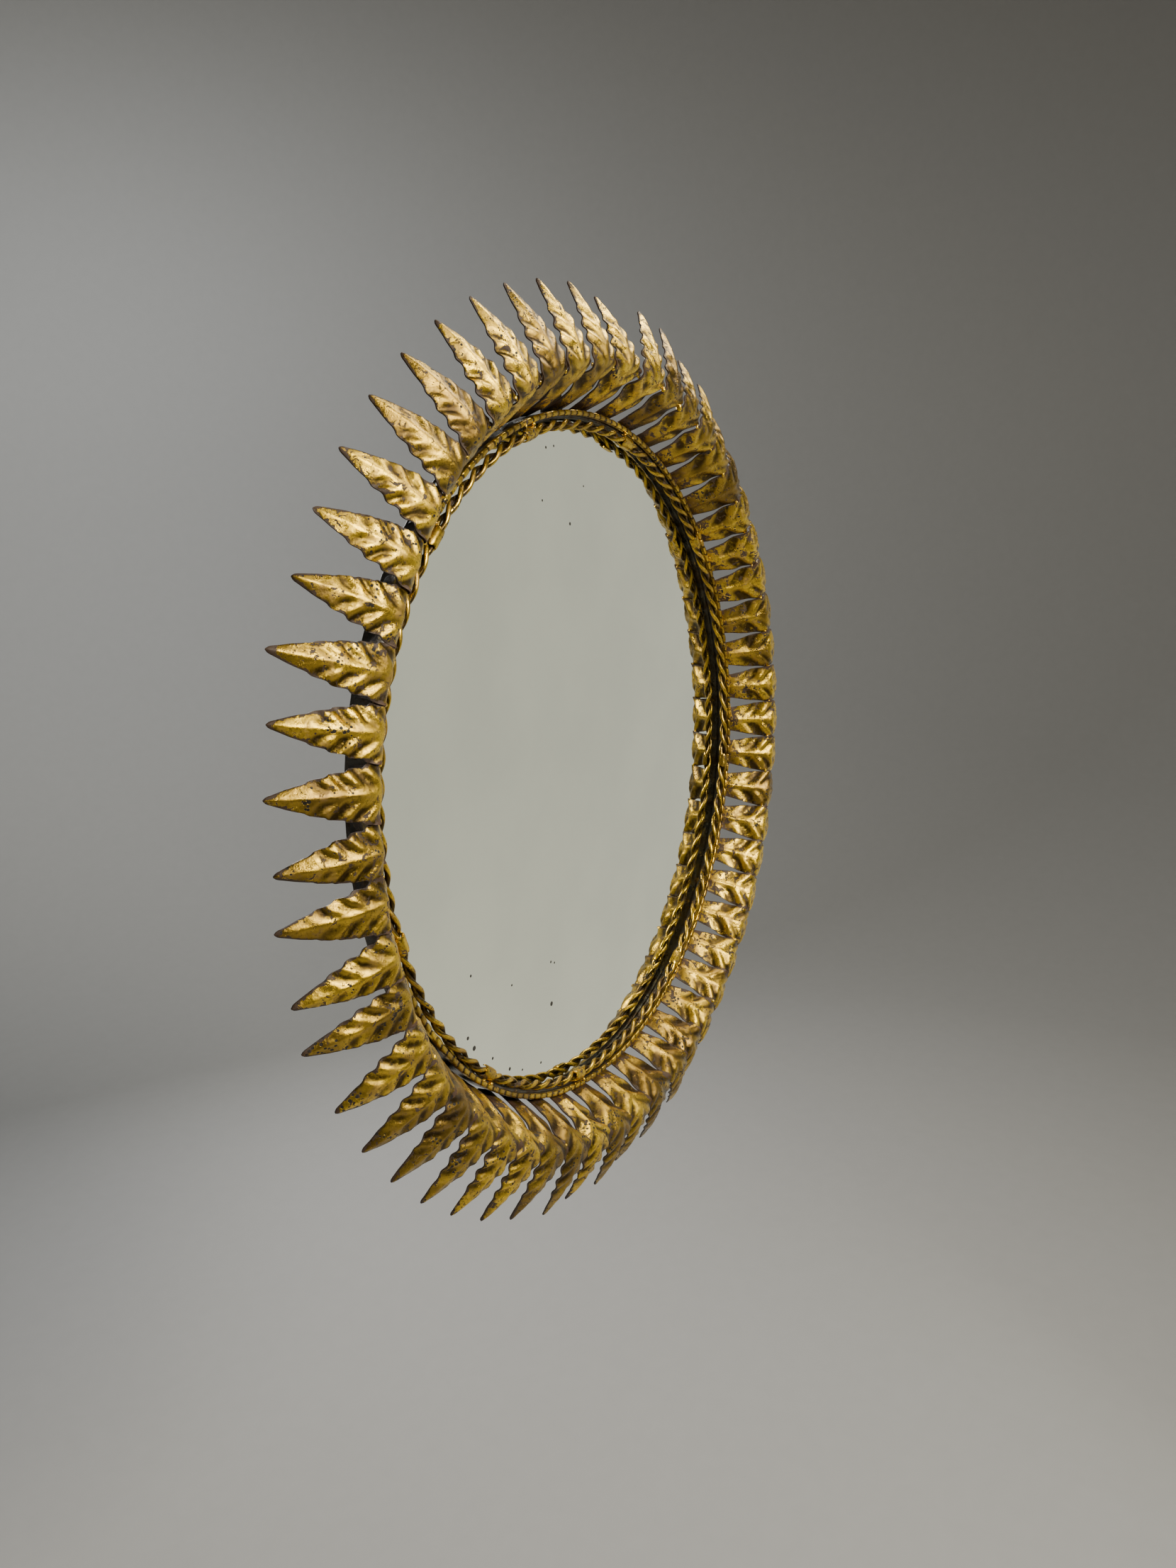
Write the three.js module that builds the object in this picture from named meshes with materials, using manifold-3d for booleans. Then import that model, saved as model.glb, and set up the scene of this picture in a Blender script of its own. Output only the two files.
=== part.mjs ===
// A round wall mirror: a silvered glass in a gilt iron frame with a sunburst of leaves.
//
// Millimetres. +Z is up, +X is to the right of a viewer, and the front looks along -Y.
// The wall is the plane Y = 0. The origin is on the flat back of the hanger, under its eye.
// Most sizes are given as a radius from the glass's axis and as a height in front of the
// plane of the notched ring, because the whole object is built on that ring.
import * as THREE from "three";
import { mergeVertices } from "three/addons/utils/BufferGeometryUtils.js";
import Module from "manifold-3d";

// The notched ring, on which everything is laid out
const RING_RADIUS = 224;
const RING_TO_WALL = 17.5;
const RING_WIRE = 3.4;
const ROUND_SIDES = 54;
const GAP = 0.35;

// Glass and board
const GLASS_RADIUS = 220.4;
const GLASS_THICK = 4;
const GLASS_FRONT = -7.8;
const BOARD_THICK = 3;

// Frame band: an upright wall with a ledge behind the board, flush with the wall
const BAND_INNER = GLASS_RADIUS + GAP;
const BAND_OUTER = 224.6;
const BAND_FRONT = -RING_WIRE / 2 - GAP;
const LEDGE_INNER = 212;
const LEDGE_FRONT = GLASS_FRONT - GLASS_THICK - BOARD_THICK - 2 * GAP;

// Rope ring of two wires twisted together
const ROPE_RADIUS = 217;
const ROPE_HEIGHT = -1.1;
const ROPE_WIRE = 3.35;
const ROPE_HALF_TURNS = 90;
const ROPE_STEPS_PER_HALF_TURN = 3;

// Sheet clips that wrap the rope and are brazed to the notched ring
const CLIP_ANGLES = [104, 72, 38, -13, -60, -102, -132, -166, 134];
const CLIP_WIDTH = 11;
const CLIP_THICK = 0.9;
const CLIP_START = 8;
const CLIP_END = 196;
const CLIP_SIDES = 4;
const TONGUE_REACH = 1.2;

// Leaves, counted from the top right round by the left
const LEAF_COUNT = 54;
const LEAF_FIRST_ANGLE = 49.3;
const LEAF_DRIFT = 2.74;
const LEAF_DRIFT_PHASE = 49;
const LEAF_LEAN = 0.2;
const LEAF_LEAN_SWING = -1.7;
const LEAF_LEAN_PHASE = 76;
const LEAF_THICK = 1.5;
const LEAF_GAP = 0.7;
const CREST_SHARE_OF_LEAN = 0.45;

// Leaves bent by hand, by their number: lean in degrees, and extra reach of the tip
const BENT_LEAVES = {
  1: { lean: -2.1, reach: 5 },
  2: { lean: -2.5, reach: 1 },
  3: { lean: -2.9, reach: 6 },
  4: { lean: -3.8, reach: 3 },
  5: { lean: 0.6, reach: -4 },
  16: { lean: 0.3, reach: 6 },
  19: { lean: 0.4, reach: -4 },
  20: { lean: -1, reach: 0 },
  22: { lean: -1.8, reach: 3 },
  30: { lean: 1.2, reach: 3 },
  32: { lean: 1, reach: 4 },
  34: { lean: 0.8, reach: 4 },
  35: { lean: 3, reach: 6 },
};
const STRAIGHT_LEAF = { lean: 0, reach: 0 };

// Stations along a leaf's root, from its foot on the band up to the crest.
// out: radius beyond the ring's, up: height before the ring's plane, half: half width as a
// share of the distance between leaves, rib: how far the mid-rib stands out of the edges
const ROOT_STATIONS = [
  { out: 1.1, up: -13, half: 0.31, rib: 0.2 },
  { out: 7, up: 1, half: 0.36, rib: 1.2 },
  { out: 16.5, up: 15.5, half: 0.465, rib: 2.2 },
];
const CREST = { out: 25.8, up: 28.6, half: 0.5, rib: 2.7 };

// The blade bends back from the crest to a tip near the ring's plane and narrows in lobes
const TIP = { out: 75.7, up: 3.4, half: 0.03, rib: 0.4 };
const BLADE_BEND = 1.45;
const BLADE_NARROWING = 2;
const LOBES = 4;
const LOBE_PITCH = 0.165;
const LOBE_CUT = 0.035;
const LOBE_DEPTH = 0.12;

// Hanger tab with an eye
const HANGER_WIDTH = 24;
const HANGER_TOP = 27;
const HANGER_THICK = 2;
const HANGER_EYE_RADIUS = 4;
const HANGER_EYE_HEIGHT = 16;
const ORIGIN_HEIGHT = 6.5;
const HANGER_CURVE_SIDES = 6;

// The axis of the glass lies this far under the origin
const AXIS_DROP = BAND_OUTER + GAP + ORIGIN_HEIGHT;

const DEGREE = Math.PI / 180;
const FULL_TURN = 2 * Math.PI;

const wasm = await Module();
wasm.setup();

// Materials, one for each sub-part's finish

const giltIron = (color, roughness) => new THREE.MeshStandardMaterial({ color, roughness, metalness: 0.9 });
const leafGilt = giltIron(0xb08a3c, 0.42);
const ropeGilt = giltIron(0xb89240, 0.38);
const ringGilt = giltIron(0x9a7434, 0.48);
const darkIron = giltIron(0x2e2418, 0.7);
const silvered = new THREE.MeshStandardMaterial({ color: 0xb9beb4, roughness: 0.03, metalness: 1 });
const hardboard = new THREE.MeshStandardMaterial({ color: 0x5f4229, roughness: 0.85, metalness: 0 });

// Helpers

// Six times the volume of a closed indexed mesh, negative if its faces look inwards
function signedVolume(position, index) {
  const a = new THREE.Vector3();
  const b = new THREE.Vector3();
  const c = new THREE.Vector3();
  let sum = 0;
  for (let i = 0; i < index.count; i += 3) {
    a.fromBufferAttribute(position, index.getX(i));
    b.fromBufferAttribute(position, index.getX(i + 1));
    c.fromBufferAttribute(position, index.getX(i + 2));
    sum += a.dot(b.cross(c));
  }
  return sum;
}

// The same shape with shared corners merged and every face looking out
function closedSolid(geometry) {
  const bare = geometry.clone();
  bare.deleteAttribute("normal");
  bare.deleteAttribute("uv");
  const merged = mergeVertices(bare, 1e-4);
  if (signedVolume(merged.attributes.position, merged.index) < 0) {
    const order = merged.index.array;
    for (let i = 0; i < order.length; i += 3) {
      [order[i], order[i + 1]] = [order[i + 1], order[i]];
    }
  }
  merged.computeVertexNormals();
  return merged;
}

// A closed grid of points: rows of one closed section each, with a cap on both ends,
// or joined end to end
function sectionLoft(sections, endToEnd) {
  const across = sections[0].length;
  const points = sections.flat();
  const faces = [];
  const rows = endToEnd ? sections.length : sections.length - 1;
  for (let row = 0; row < rows; row += 1) {
    const next = (row + 1) % sections.length;
    for (let column = 0; column < across; column += 1) {
      const right = (column + 1) % across;
      const a = row * across + column;
      const b = row * across + right;
      const c = next * across + right;
      const d = next * across + column;
      faces.push(a, b, d, b, c, d);
    }
  }
  if (!endToEnd) {
    const last = (sections.length - 1) * across;
    for (let column = 1; column < across / 2; column += 1) {
      // The section runs out along the front and back along the rear, so a cap is a strip
      const front = column - 1;
      const rear = across - column;
      faces.push(front, rear, column, rear, rear - 1, column);
      faces.push(last + front, last + column, last + rear, last + rear, last + column, last + rear - 1);
    }
  }
  const geometry = new THREE.BufferGeometry();
  geometry.setAttribute("position", new THREE.Float32BufferAttribute(points.flatMap((p) => [p.x, p.y, p.z]), 3));
  geometry.setIndex(faces);
  return closedSolid(geometry);
}

function toManifold(geometry) {
  return new wasm.Manifold(
    new wasm.Mesh({
      numProp: 3,
      vertProperties: new Float32Array(geometry.attributes.position.array),
      triVerts: new Uint32Array(geometry.index.array),
    }),
  );
}

function fromManifold(solid) {
  const mesh = solid.getMesh();
  const geometry = new THREE.BufferGeometry();
  geometry.setAttribute("position", new THREE.Float32BufferAttribute(Array.from(mesh.vertProperties), 3));
  geometry.setIndex(Array.from(mesh.triVerts));
  return closedSolid(geometry);
}

// A round body from a closed outline of [radius, height] corners
function turned(outline) {
  const profile = [...outline, outline[0]].map(([radius, height]) => new THREE.Vector2(radius, -height));
  return closedSolid(new THREE.LatheGeometry(profile, ROUND_SIDES));
}

// A disc with its front face at a height
function disc(radius, thickness, front) {
  const geometry = new THREE.CylinderGeometry(radius, radius, thickness, ROUND_SIDES);
  geometry.translate(0, thickness / 2 - front, 0);
  return closedSolid(geometry);
}

// Frame band

function frameBandGeometry() {
  return turned([
    [BAND_INNER, BAND_FRONT],
    [BAND_OUTER, BAND_FRONT],
    [BAND_OUTER, -RING_TO_WALL],
    [LEDGE_INNER, -RING_TO_WALL],
    [LEDGE_INNER, LEDGE_FRONT],
    [BAND_INNER, LEDGE_FRONT],
  ]);
}

// Rope ring: the outline of the two wires is a flat lozenge that turns as it goes round

function ropeGeometry() {
  const steps = ROPE_HALF_TURNS * ROPE_STEPS_PER_HALF_TURN;
  const long = ROPE_WIRE;
  const short = ROPE_WIRE / 2;
  const sections = [];
  for (let step = 0; step < steps; step += 1) {
    const round = (step / steps) * FULL_TURN;
    const twist = (step / ROPE_STEPS_PER_HALF_TURN) * Math.PI;
    const section = [[long, 0], [0, short], [-long, 0], [0, -short]].map(([u, v]) => {
      const radius = ROPE_RADIUS + u * Math.cos(twist) - v * Math.sin(twist);
      const height = ROPE_HEIGHT + u * Math.sin(twist) + v * Math.cos(twist);
      return new THREE.Vector3(radius * Math.cos(round), -height, radius * Math.sin(round));
    });
    sections.push(section);
  }
  return sectionLoft(sections, true);
}

// Notched ring with its clips

function clipGeometry(angle) {
  const inner = ROPE_WIRE + GAP;
  const outer = inner + CLIP_THICK;
  const arcPoints = (radius) => Array.from({ length: CLIP_SIDES + 1 }, (_, i) => {
    const turn = (CLIP_START + ((CLIP_END - CLIP_START) * i) / CLIP_SIDES) * DEGREE;
    return new THREE.Vector2(ROPE_RADIUS + radius * Math.cos(turn), ROPE_HEIGHT + radius * Math.sin(turn));
  });
  const strap = new THREE.Shape([...arcPoints(outer), ...arcPoints(inner).reverse()]);
  const tongueStart = ROPE_RADIUS + inner;
  const tongueEnd = RING_RADIUS - RING_WIRE / 2 + TONGUE_REACH;
  const tongueTop = RING_WIRE / 2 - GAP;
  const tongue = new THREE.Shape([
    new THREE.Vector2(tongueStart, ROPE_HEIGHT),
    new THREE.Vector2(tongueEnd, ROPE_HEIGHT),
    new THREE.Vector2(tongueEnd, tongueTop),
    new THREE.Vector2(tongueStart, tongueTop),
  ]);
  const along = { depth: CLIP_WIDTH, bevelEnabled: false };
  return [strap, tongue].map((shape) => {
    const geometry = new THREE.ExtrudeGeometry(shape, along);
    geometry.translate(0, 0, -CLIP_WIDTH / 2);
    // The shape's second axis is the height, which runs along -Y
    geometry.scale(1, -1, 1);
    geometry.rotateY(-angle * DEGREE);
    return closedSolid(geometry);
  });
}

function notchedRingGeometry() {
  const half = RING_WIRE / 2;
  let solid = toManifold(turned([
    [RING_RADIUS - half, half],
    [RING_RADIUS + half, half],
    [RING_RADIUS + half, -half],
    [RING_RADIUS - half, -half],
  ]));
  for (const angle of CLIP_ANGLES) {
    for (const piece of clipGeometry(angle)) {
      solid = solid.add(toManifold(piece));
    }
  }
  return fromManifold(solid);
}

// Leaves

// The leaves are set by hand and drift off an even spacing on one side of the ring
function leafAngle(leaf) {
  const share = (leaf * 360) / LEAF_COUNT;
  return LEAF_FIRST_ANGLE + share + LEAF_DRIFT * Math.sin((share + LEAF_DRIFT_PHASE) * DEGREE);
}

// The share of the way from the crest to the tip, or nothing on the root
function bladeShare(out) {
  return Math.max(0, (out - CREST.out) / (TIP.out - CREST.out));
}

// A station on the blade, narrowed by a notch where it is on the near side of a lobe
function bladeStation(share, notch) {
  const narrowing = 1 - share ** BLADE_NARROWING;
  return {
    out: CREST.out + share * (TIP.out - CREST.out),
    up: CREST.up - share ** BLADE_BEND * (CREST.up - TIP.up),
    half: CREST.half * narrowing * (1 - notch),
    rib: CREST.rib * Math.sqrt(narrowing),
  };
}

// Each lobe widens towards the tip and ends in a short cut
function leafStations() {
  const blade = [];
  for (let lobe = 1; lobe <= LOBES; lobe += 1) {
    blade.push(bladeStation(lobe * LOBE_PITCH, 0));
    blade.push(bladeStation(lobe * LOBE_PITCH + LOBE_CUT, LOBE_DEPTH));
  }
  return [...ROOT_STATIONS, CREST, ...blade, TIP];
}

// Each tip leans a little to one side of its foot
function leafLean(leaf) {
  const share = (leaf * 360) / LEAF_COUNT;
  const bent = BENT_LEAVES[leaf] ?? STRAIGHT_LEAF;
  return LEAF_LEAN + LEAF_LEAN_SWING * Math.sin((share + LEAF_LEAN_PHASE) * DEGREE) + bent.lean;
}

// How much of the lean is there at a distance beyond the ring
function leanShare(out) {
  if (out < CREST.out) {
    return (CREST_SHARE_OF_LEAN * out) / CREST.out;
  }
  return CREST_SHARE_OF_LEAN + (1 - CREST_SHARE_OF_LEAN) * bladeShare(out);
}

// A leaf's own direction at a distance beyond the ring
function directionAt(leaf, out) {
  return leafAngle(leaf) + leanShare(out) * leafLean(leaf);
}

// The number of the leaf that is so many places further round
function neighbour(leaf, places) {
  return ((leaf + places - 1 + LEAF_COUNT) % LEAF_COUNT) + 1;
}

// The angle from a leaf to its neighbour, always the short way round
function angleBetween(leaf, places, out) {
  const apart = directionAt(neighbour(leaf, places), out) - directionAt(leaf, out);
  return apart - 360 * Math.round(apart / 360);
}

// One leaf with its foot on the +X side of the ring: a sheet that is thin at its edges
function leafGeometry(leaf) {
  const { reach } = BENT_LEAVES[leaf] ?? STRAIGHT_LEAF;
  const stations = leafStations();
  const sections = stations.map((station, i) => {
    const previous = stations[Math.max(i - 1, 0)];
    const next = stations[Math.min(i + 1, stations.length - 1)];
    const slope = new THREE.Vector2(next.out - previous.out, next.up - previous.up).normalize();
    const radius = RING_RADIUS + station.out + reach * bladeShare(station.out);
    const side = radius * leanShare(station.out) * leafLean(leaf) * DEGREE;
    const widthOut = Math.min(station.out, CREST.out);
    const halfWidth = (places) => (
      station.half * (RING_RADIUS + widthOut) * angleBetween(leaf, places, widthOut) * DEGREE
    );
    const corner = (across, rise) => new THREE.Vector3(
      radius - slope.y * rise,
      -(station.up + slope.x * rise),
      across,
    );
    return [
      corner(side + halfWidth(1) - LEAF_GAP / 2, 0),
      corner(side, station.rib),
      corner(side + halfWidth(-1) + LEAF_GAP / 2, 0),
      corner(side, station.rib - LEAF_THICK),
    ];
  });
  return sectionLoft(sections, false);
}

// Hanger: a flat tab with a round top and an eye, standing up from the band

function hangerGeometry() {
  const half = HANGER_WIDTH / 2;
  const foot = BAND_OUTER + GAP;
  const shoulder = foot + HANGER_TOP - half;
  const tab = new THREE.Shape();
  tab.moveTo(-half, foot);
  tab.lineTo(half, foot);
  tab.lineTo(half, shoulder);
  tab.absarc(0, shoulder, half, 0, Math.PI, false);
  const eye = new THREE.Path();
  eye.absarc(0, foot + HANGER_EYE_HEIGHT, HANGER_EYE_RADIUS, 0, FULL_TURN, false);
  tab.holes.push(eye);
  const geometry = new THREE.ExtrudeGeometry(tab, {
    depth: HANGER_THICK,
    bevelEnabled: false,
    curveSegments: HANGER_CURVE_SIDES,
  });
  geometry.rotateX(Math.PI / 2);
  geometry.translate(0, RING_TO_WALL, 0);
  return closedSolid(geometry);
}

// The object

function part(name, geometry, material) {
  const mesh = new THREE.Mesh(geometry, material);
  mesh.name = name;
  return mesh;
}

const frame = new THREE.Group();
frame.position.set(0, -RING_TO_WALL, -AXIS_DROP);
frame.add(part("mirror_glass", disc(GLASS_RADIUS, GLASS_THICK, GLASS_FRONT), silvered));
frame.add(part("backing_board", disc(GLASS_RADIUS, BOARD_THICK, GLASS_FRONT - GLASS_THICK - GAP), hardboard));
frame.add(part("frame_band", frameBandGeometry(), darkIron));
frame.add(part("rope_ring", ropeGeometry(), ropeGilt));
frame.add(part("notched_ring", notchedRingGeometry(), ringGilt));
frame.add(part("hanger", hangerGeometry(), darkIron));
for (let leaf = 1; leaf <= LEAF_COUNT; leaf += 1) {
  const mesh = part(`leaf_${String(leaf).padStart(2, "0")}`, leafGeometry(leaf), leafGilt);
  mesh.rotation.y = -leafAngle(leaf) * DEGREE;
  frame.add(mesh);
}

const mirror = new THREE.Group();
mirror.add(frame);
export default mirror;
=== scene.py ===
import math
from collections import namedtuple

import bpy
import numpy as np
from mathutils import Matrix, Vector


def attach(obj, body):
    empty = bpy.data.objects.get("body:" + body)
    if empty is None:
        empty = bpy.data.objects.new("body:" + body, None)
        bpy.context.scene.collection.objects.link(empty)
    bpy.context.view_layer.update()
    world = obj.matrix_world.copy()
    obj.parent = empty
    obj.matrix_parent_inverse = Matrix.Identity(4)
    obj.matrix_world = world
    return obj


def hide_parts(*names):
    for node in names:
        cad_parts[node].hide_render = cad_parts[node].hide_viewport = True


# A round wall mirror in a gilt iron frame with a sunburst of leaves, dressed round its CAD model.
# Lengths are in millimetres until a mesh is made. A place on the mirror is an angle (in degrees
# from the right, anticlockwise as a viewer sees it), a radius from the glass's axis and a height
# in front of the plane of the notched ring.

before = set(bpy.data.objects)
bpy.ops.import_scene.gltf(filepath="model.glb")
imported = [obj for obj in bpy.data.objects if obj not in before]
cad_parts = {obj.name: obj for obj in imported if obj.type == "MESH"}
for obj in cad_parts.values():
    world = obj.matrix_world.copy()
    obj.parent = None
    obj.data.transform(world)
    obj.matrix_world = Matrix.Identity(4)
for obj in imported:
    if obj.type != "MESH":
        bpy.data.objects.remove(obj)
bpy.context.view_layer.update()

MM = 0.001
FULL_TURN = 2 * math.pi
BODY = "root"

# The frame's plan, as in the CAD model
RING_RADIUS = 224
RING_TO_WALL = 17.5
RING_WIRE = 3.4
GAP = 0.35
GLASS_RADIUS = 220.4
GLASS_THICK = 4
GLASS_FRONT = -7.8
BOARD_THICK = 3
BAND_INNER = GLASS_RADIUS + GAP
BAND_OUTER = 224.6
BAND_FRONT = -RING_WIRE / 2 - GAP
LEDGE_INNER = 212
LEDGE_FRONT = GLASS_FRONT - GLASS_THICK - BOARD_THICK - 2 * GAP
ROPE_RADIUS = 217
ROPE_HEIGHT = -1.1
ROPE_WIRE = 3.35
ROPE_HALF_TURNS = 90
CLIP_ANGLES = [104, 72, 38, -13, -60, -102, -132, -166, 134]
CLIP_WIDTH = 11
CLIP_START = 8
CLIP_END = 196
HANGER_WIDTH = 24
HANGER_FOOT = BAND_OUTER + GAP
HANGER_TOP = 27
HANGER_THICK = 2
HANGER_EYE_RADIUS = 4
HANGER_EYE_HEIGHT = 16
ORIGIN_HEIGHT = 6.5
AXIS_DROP = HANGER_FOOT + ORIGIN_HEIGHT

# The leaves' plan, as in the CAD model. A bent leaf has a lean in degrees and an extra reach.
LEAF_COUNT = 54
LEAF_FIRST_ANGLE = 49.3
LEAF_DRIFT = 2.74
LEAF_DRIFT_PHASE = 49
LEAF_LEAN = 0.2
LEAF_LEAN_SWING = -1.7
LEAF_LEAN_PHASE = 76
CREST_SHARE_OF_LEAN = 0.45
BENT_LEAVES = {
    1: (-2.1, 5),
    2: (-2.5, 1),
    3: (-2.9, 6),
    4: (-3.8, 3),
    5: (0.6, -4),
    16: (0.3, 6),
    19: (0.4, -4),
    20: (-1, 0),
    22: (-1.8, 3),
    30: (1.2, 3),
    32: (1, 4),
    34: (0.8, 4),
    35: (3, 6),
}
STRAIGHT_LEAF = (0, 0)
CREST_OUT = 25.8
CREST_UP = 28.6
ROOT_OUT = [1.1, 7, 16.5, CREST_OUT]
ROOT_UP = [-13, 1, 15.5, CREST_UP]
ROOT_HALF = [0.31, 0.36, 0.465, 0.5]
TIP_OUT = 75.7
TIP_UP = 3.4
BLADE_BEND = 1.45
BLADE_NARROWING = 2
LOBES = 4
LOBE_PITCH = 0.165
LOBE_CUT = 0.035
LOBE_DEPTH = 0.09

# A leaf's sheet: its mesh, its fold at the crest and its rounded tip
SHEET_THICK = 0.8
LEAF_ROWS = 96
LEAF_COLUMNS = 27
BLADE_STEPS = 60
FOLD_STEP = 0.25
FOLD_SOFTNESS = 2.0
TIP_FULLNESS = 0.085
TIP_FULLNESS_POWER = 8
TIP_ROUND_LENGTH = 2.2
TIP_BLUNTNESS = 0.03
CREST_OVERLAP = 0.8
CREST_OVERLAP_REACH = 8

# A leaf's pressed relief. "Along" is the length along the sheet, counted from the crest.
ARCH_RISE = 2.4
ARCH_POWER = 1.6
ARCH_OUT = [1, 8, 22]
ARCH_STRENGTH = [0.1, 0.45, 1]
CREST_FLATTENING = 0.4
CREST_FLAT_REACH = 8
RIB_RISE = 0.9
RIB_WIDTH = 2.1
RIB_ALONG = [-46, -36, -13, -3, 4, 38, 54]
RIB_STRENGTH = [0.2, 1.1, 1.2, 0.25, 1, 0.8, 0.1]
BLADE_VEIN_PITCH = 10.2
ROOT_VEIN_PITCH = 23
VEIN_SLOPE = 0.85
VEIN_POWER = 1.2
VEIN_RISE = 1.0
VEIN_RISE_SPREAD = 0.2
VEIN_SHIFT = 0.08
VEIN_SIDE_SHIFT = 0.07
VEIN_START = 0.45
VEIN_START_POWER = 1.3
VEIN_ALONG = [-46, -36, -24, -12, -2, 5, 24, 34, 43]
VEIN_STRENGTH = [0.0, 0.1, 0.5, 1.5, 0.6, 0.75, 0.95, 0.55, 0]

# What hand work adds to each leaf. A dent is a height and its waves, each in radians per
# millimetre along and across.
DENTS = [
    (0.18, (0.19, 0), (0, 0.23)),
    (0.08, (0.47, 0.31)),
    (0.05, (0.9, -0.8), (0, 0.7)),
]
WAVES_IN_DENTS = sum(len(waves) for _, *waves in DENTS)
TWIST_SLOPE = 0.035
CUP_RISE = 0.3
EDGE_LAP = 1.0
EDGE_LAP_SPREAD = 0.6
EDGE_LAP_REACH = 11
EDGE_LAP_POWER = 3

# How raised, sooty and worn a leaf is painted, which also sets where painted shade and painted shadow
# fall
MIDDLE_RELIEF = 0.55
VEIN_RELIEF = 0.38
RIB_RELIEF = 0.3
DENT_RELIEF = 0.5
BACK_RELIEF = 0.35
TIP_SOOT_SHARE = [0.85, 1]
TIP_SOOT = [0, 0.35]
FOOT_SOOT_ALONG = [-48, -38, -22]
FOOT_SOOT = [1, 0.65, 0]
BACK_SOOT = 0.25
CREST_BURN = 0.75
CREST_BURN_REACH = 5
CREST_BURN_SHIFT = 2
CREST_BURN_POWER = 5
EDGE_WEAR_AND_SHADE_WIDTH = 1.0
TIP_WEAR_SHARE = [0.86, 1]
TIP_WEAR = [0, 0.35]
CREST_WEAR = 0.7
CREST_WEAR_REACH = 9
CREST_WEAR_POWER = 12


# Where things are


def place(angle, radius, height):
    """Points in the shared frame, in metres, for arrays or numbers in degrees and millimetres."""
    turn = np.radians(angle)
    x = radius * np.cos(turn)
    y = -(RING_TO_WALL + height) + 0 * x
    z = radius * np.sin(turn) - AXIS_DROP
    return np.stack([x, y, z], axis=-1) * MM


def leaf_angle(leaf):
    share = leaf * 360 / LEAF_COUNT
    return LEAF_FIRST_ANGLE + share + LEAF_DRIFT * math.sin(math.radians(share + LEAF_DRIFT_PHASE))


def leaf_lean(leaf):
    """How far the tip has turned from the foot, in degrees."""
    share = leaf * 360 / LEAF_COUNT
    bent = BENT_LEAVES.get(leaf, STRAIGHT_LEAF)[0]
    return LEAF_LEAN + LEAF_LEAN_SWING * math.sin(math.radians(share + LEAF_LEAN_PHASE)) + bent


def blade_share(out):
    """How far along the blade a distance beyond the ring is: 0 at the crest, 1 at the tip."""
    return np.clip((out - CREST_OUT) / (TIP_OUT - CREST_OUT), 0, None)


def lean_share(out):
    on_root = CREST_SHARE_OF_LEAN * np.minimum(out, CREST_OUT) / CREST_OUT
    return on_root + (1 - CREST_SHARE_OF_LEAN) * blade_share(out)


def neighbour(leaf, places):
    return (leaf + places - 1 + LEAF_COUNT) % LEAF_COUNT + 1


def angle_between(leaf, places, out):
    """The angle from a leaf to its neighbour at a distance beyond the ring."""
    other = neighbour(leaf, places)
    apart = leaf_angle(other) - leaf_angle(leaf) + lean_share(out) * (leaf_lean(other) - leaf_lean(leaf))
    return apart - 360 * np.round(apart / 360)


def bell(distance, width):
    return np.exp(-(distance / width) ** 2)


# Mesh helpers


def smooth_piece(name, mesh):
    mesh.polygons.foreach_set("use_smooth", [True] * len(mesh.polygons))
    piece = bpy.data.objects.new(name, mesh)
    bpy.context.scene.collection.objects.link(piece)
    return piece


def mesh_object(name, points, faces):
    mesh = bpy.data.meshes.new(name)
    mesh.from_pydata(points.tolist(), [], faces)
    mesh.update()
    return smooth_piece(name, mesh)


def paint(piece, relief, soot, edge, seed):
    """Stores how raised, how sooty and how near an edge each point is, and a number for the piece."""
    layer = piece.data.color_attributes.new("patina", "FLOAT_COLOR", "POINT")
    values = np.empty((len(piece.data.vertices), 4), np.float32)
    values[:, 0] = relief
    values[:, 1] = soot
    values[:, 2] = edge
    values[:, 3] = seed
    layer.data.foreach_set("color", values.ravel())


def grid_faces(rows, columns, close_rows=False, close_columns=False):
    """Four-sided faces between the points of a grid that is stored row by row."""
    row = np.arange(rows if close_rows else rows - 1)
    column = np.arange(columns if close_columns else columns - 1)
    row, column = np.meshgrid(row, column, indexing="ij")
    below = (row + 1) % rows
    right = (column + 1) % columns
    faces = np.stack([
        row * columns + column,
        row * columns + right,
        below * columns + right,
        below * columns + column,
    ], axis=-1)
    return faces.reshape(-1, 4)


def sheet_faces(rows, columns):
    """The faces of a thin sheet: a grid of points, the same grid again behind it, and the rim."""
    count = rows * columns
    index = np.arange(count).reshape(rows, columns)
    rim = np.concatenate([index[0], index[1:, -1], index[-1, -2::-1], index[-2:0:-1, 0]])
    following = np.roll(rim, -1)
    strip = np.stack([following, rim, rim + count, following + count], axis=1)
    sheet = grid_faces(rows, columns)
    return np.concatenate([sheet, sheet[:, ::-1] + count, strip])


def joined(shapes):
    """The points and faces of several shapes as those of one."""
    points = []
    faces = []
    start = 0
    for own_points, own_faces in shapes:
        points.append(own_points)
        faces.extend([corner + start for corner in face] for face in own_faces)
        start += len(own_points)
    return np.concatenate(points), faces


def turned(name, outline):
    """A round body from a closed outline of (radius, height) corners."""
    sides = 216
    angles = np.linspace(0, 360, sides, endpoint=False)
    points = np.stack([place(angles, radius, height) for radius, height in outline], axis=1)
    faces = grid_faces(sides, len(outline), close_rows=True, close_columns=True)
    return mesh_object(name, points.reshape(-1, 3), faces.tolist())


def sharpen(piece, angle):
    """Keeps edges crisp where faces meet at more than an angle, in degrees."""
    piece.data.set_sharp_from_angle(angle=math.radians(angle))


def bevel(piece, width):
    modifier = piece.modifiers.new("soft edges", "BEVEL")
    modifier.width = width * MM
    modifier.segments = 2
    modifier.limit_method = "ANGLE"


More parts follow.
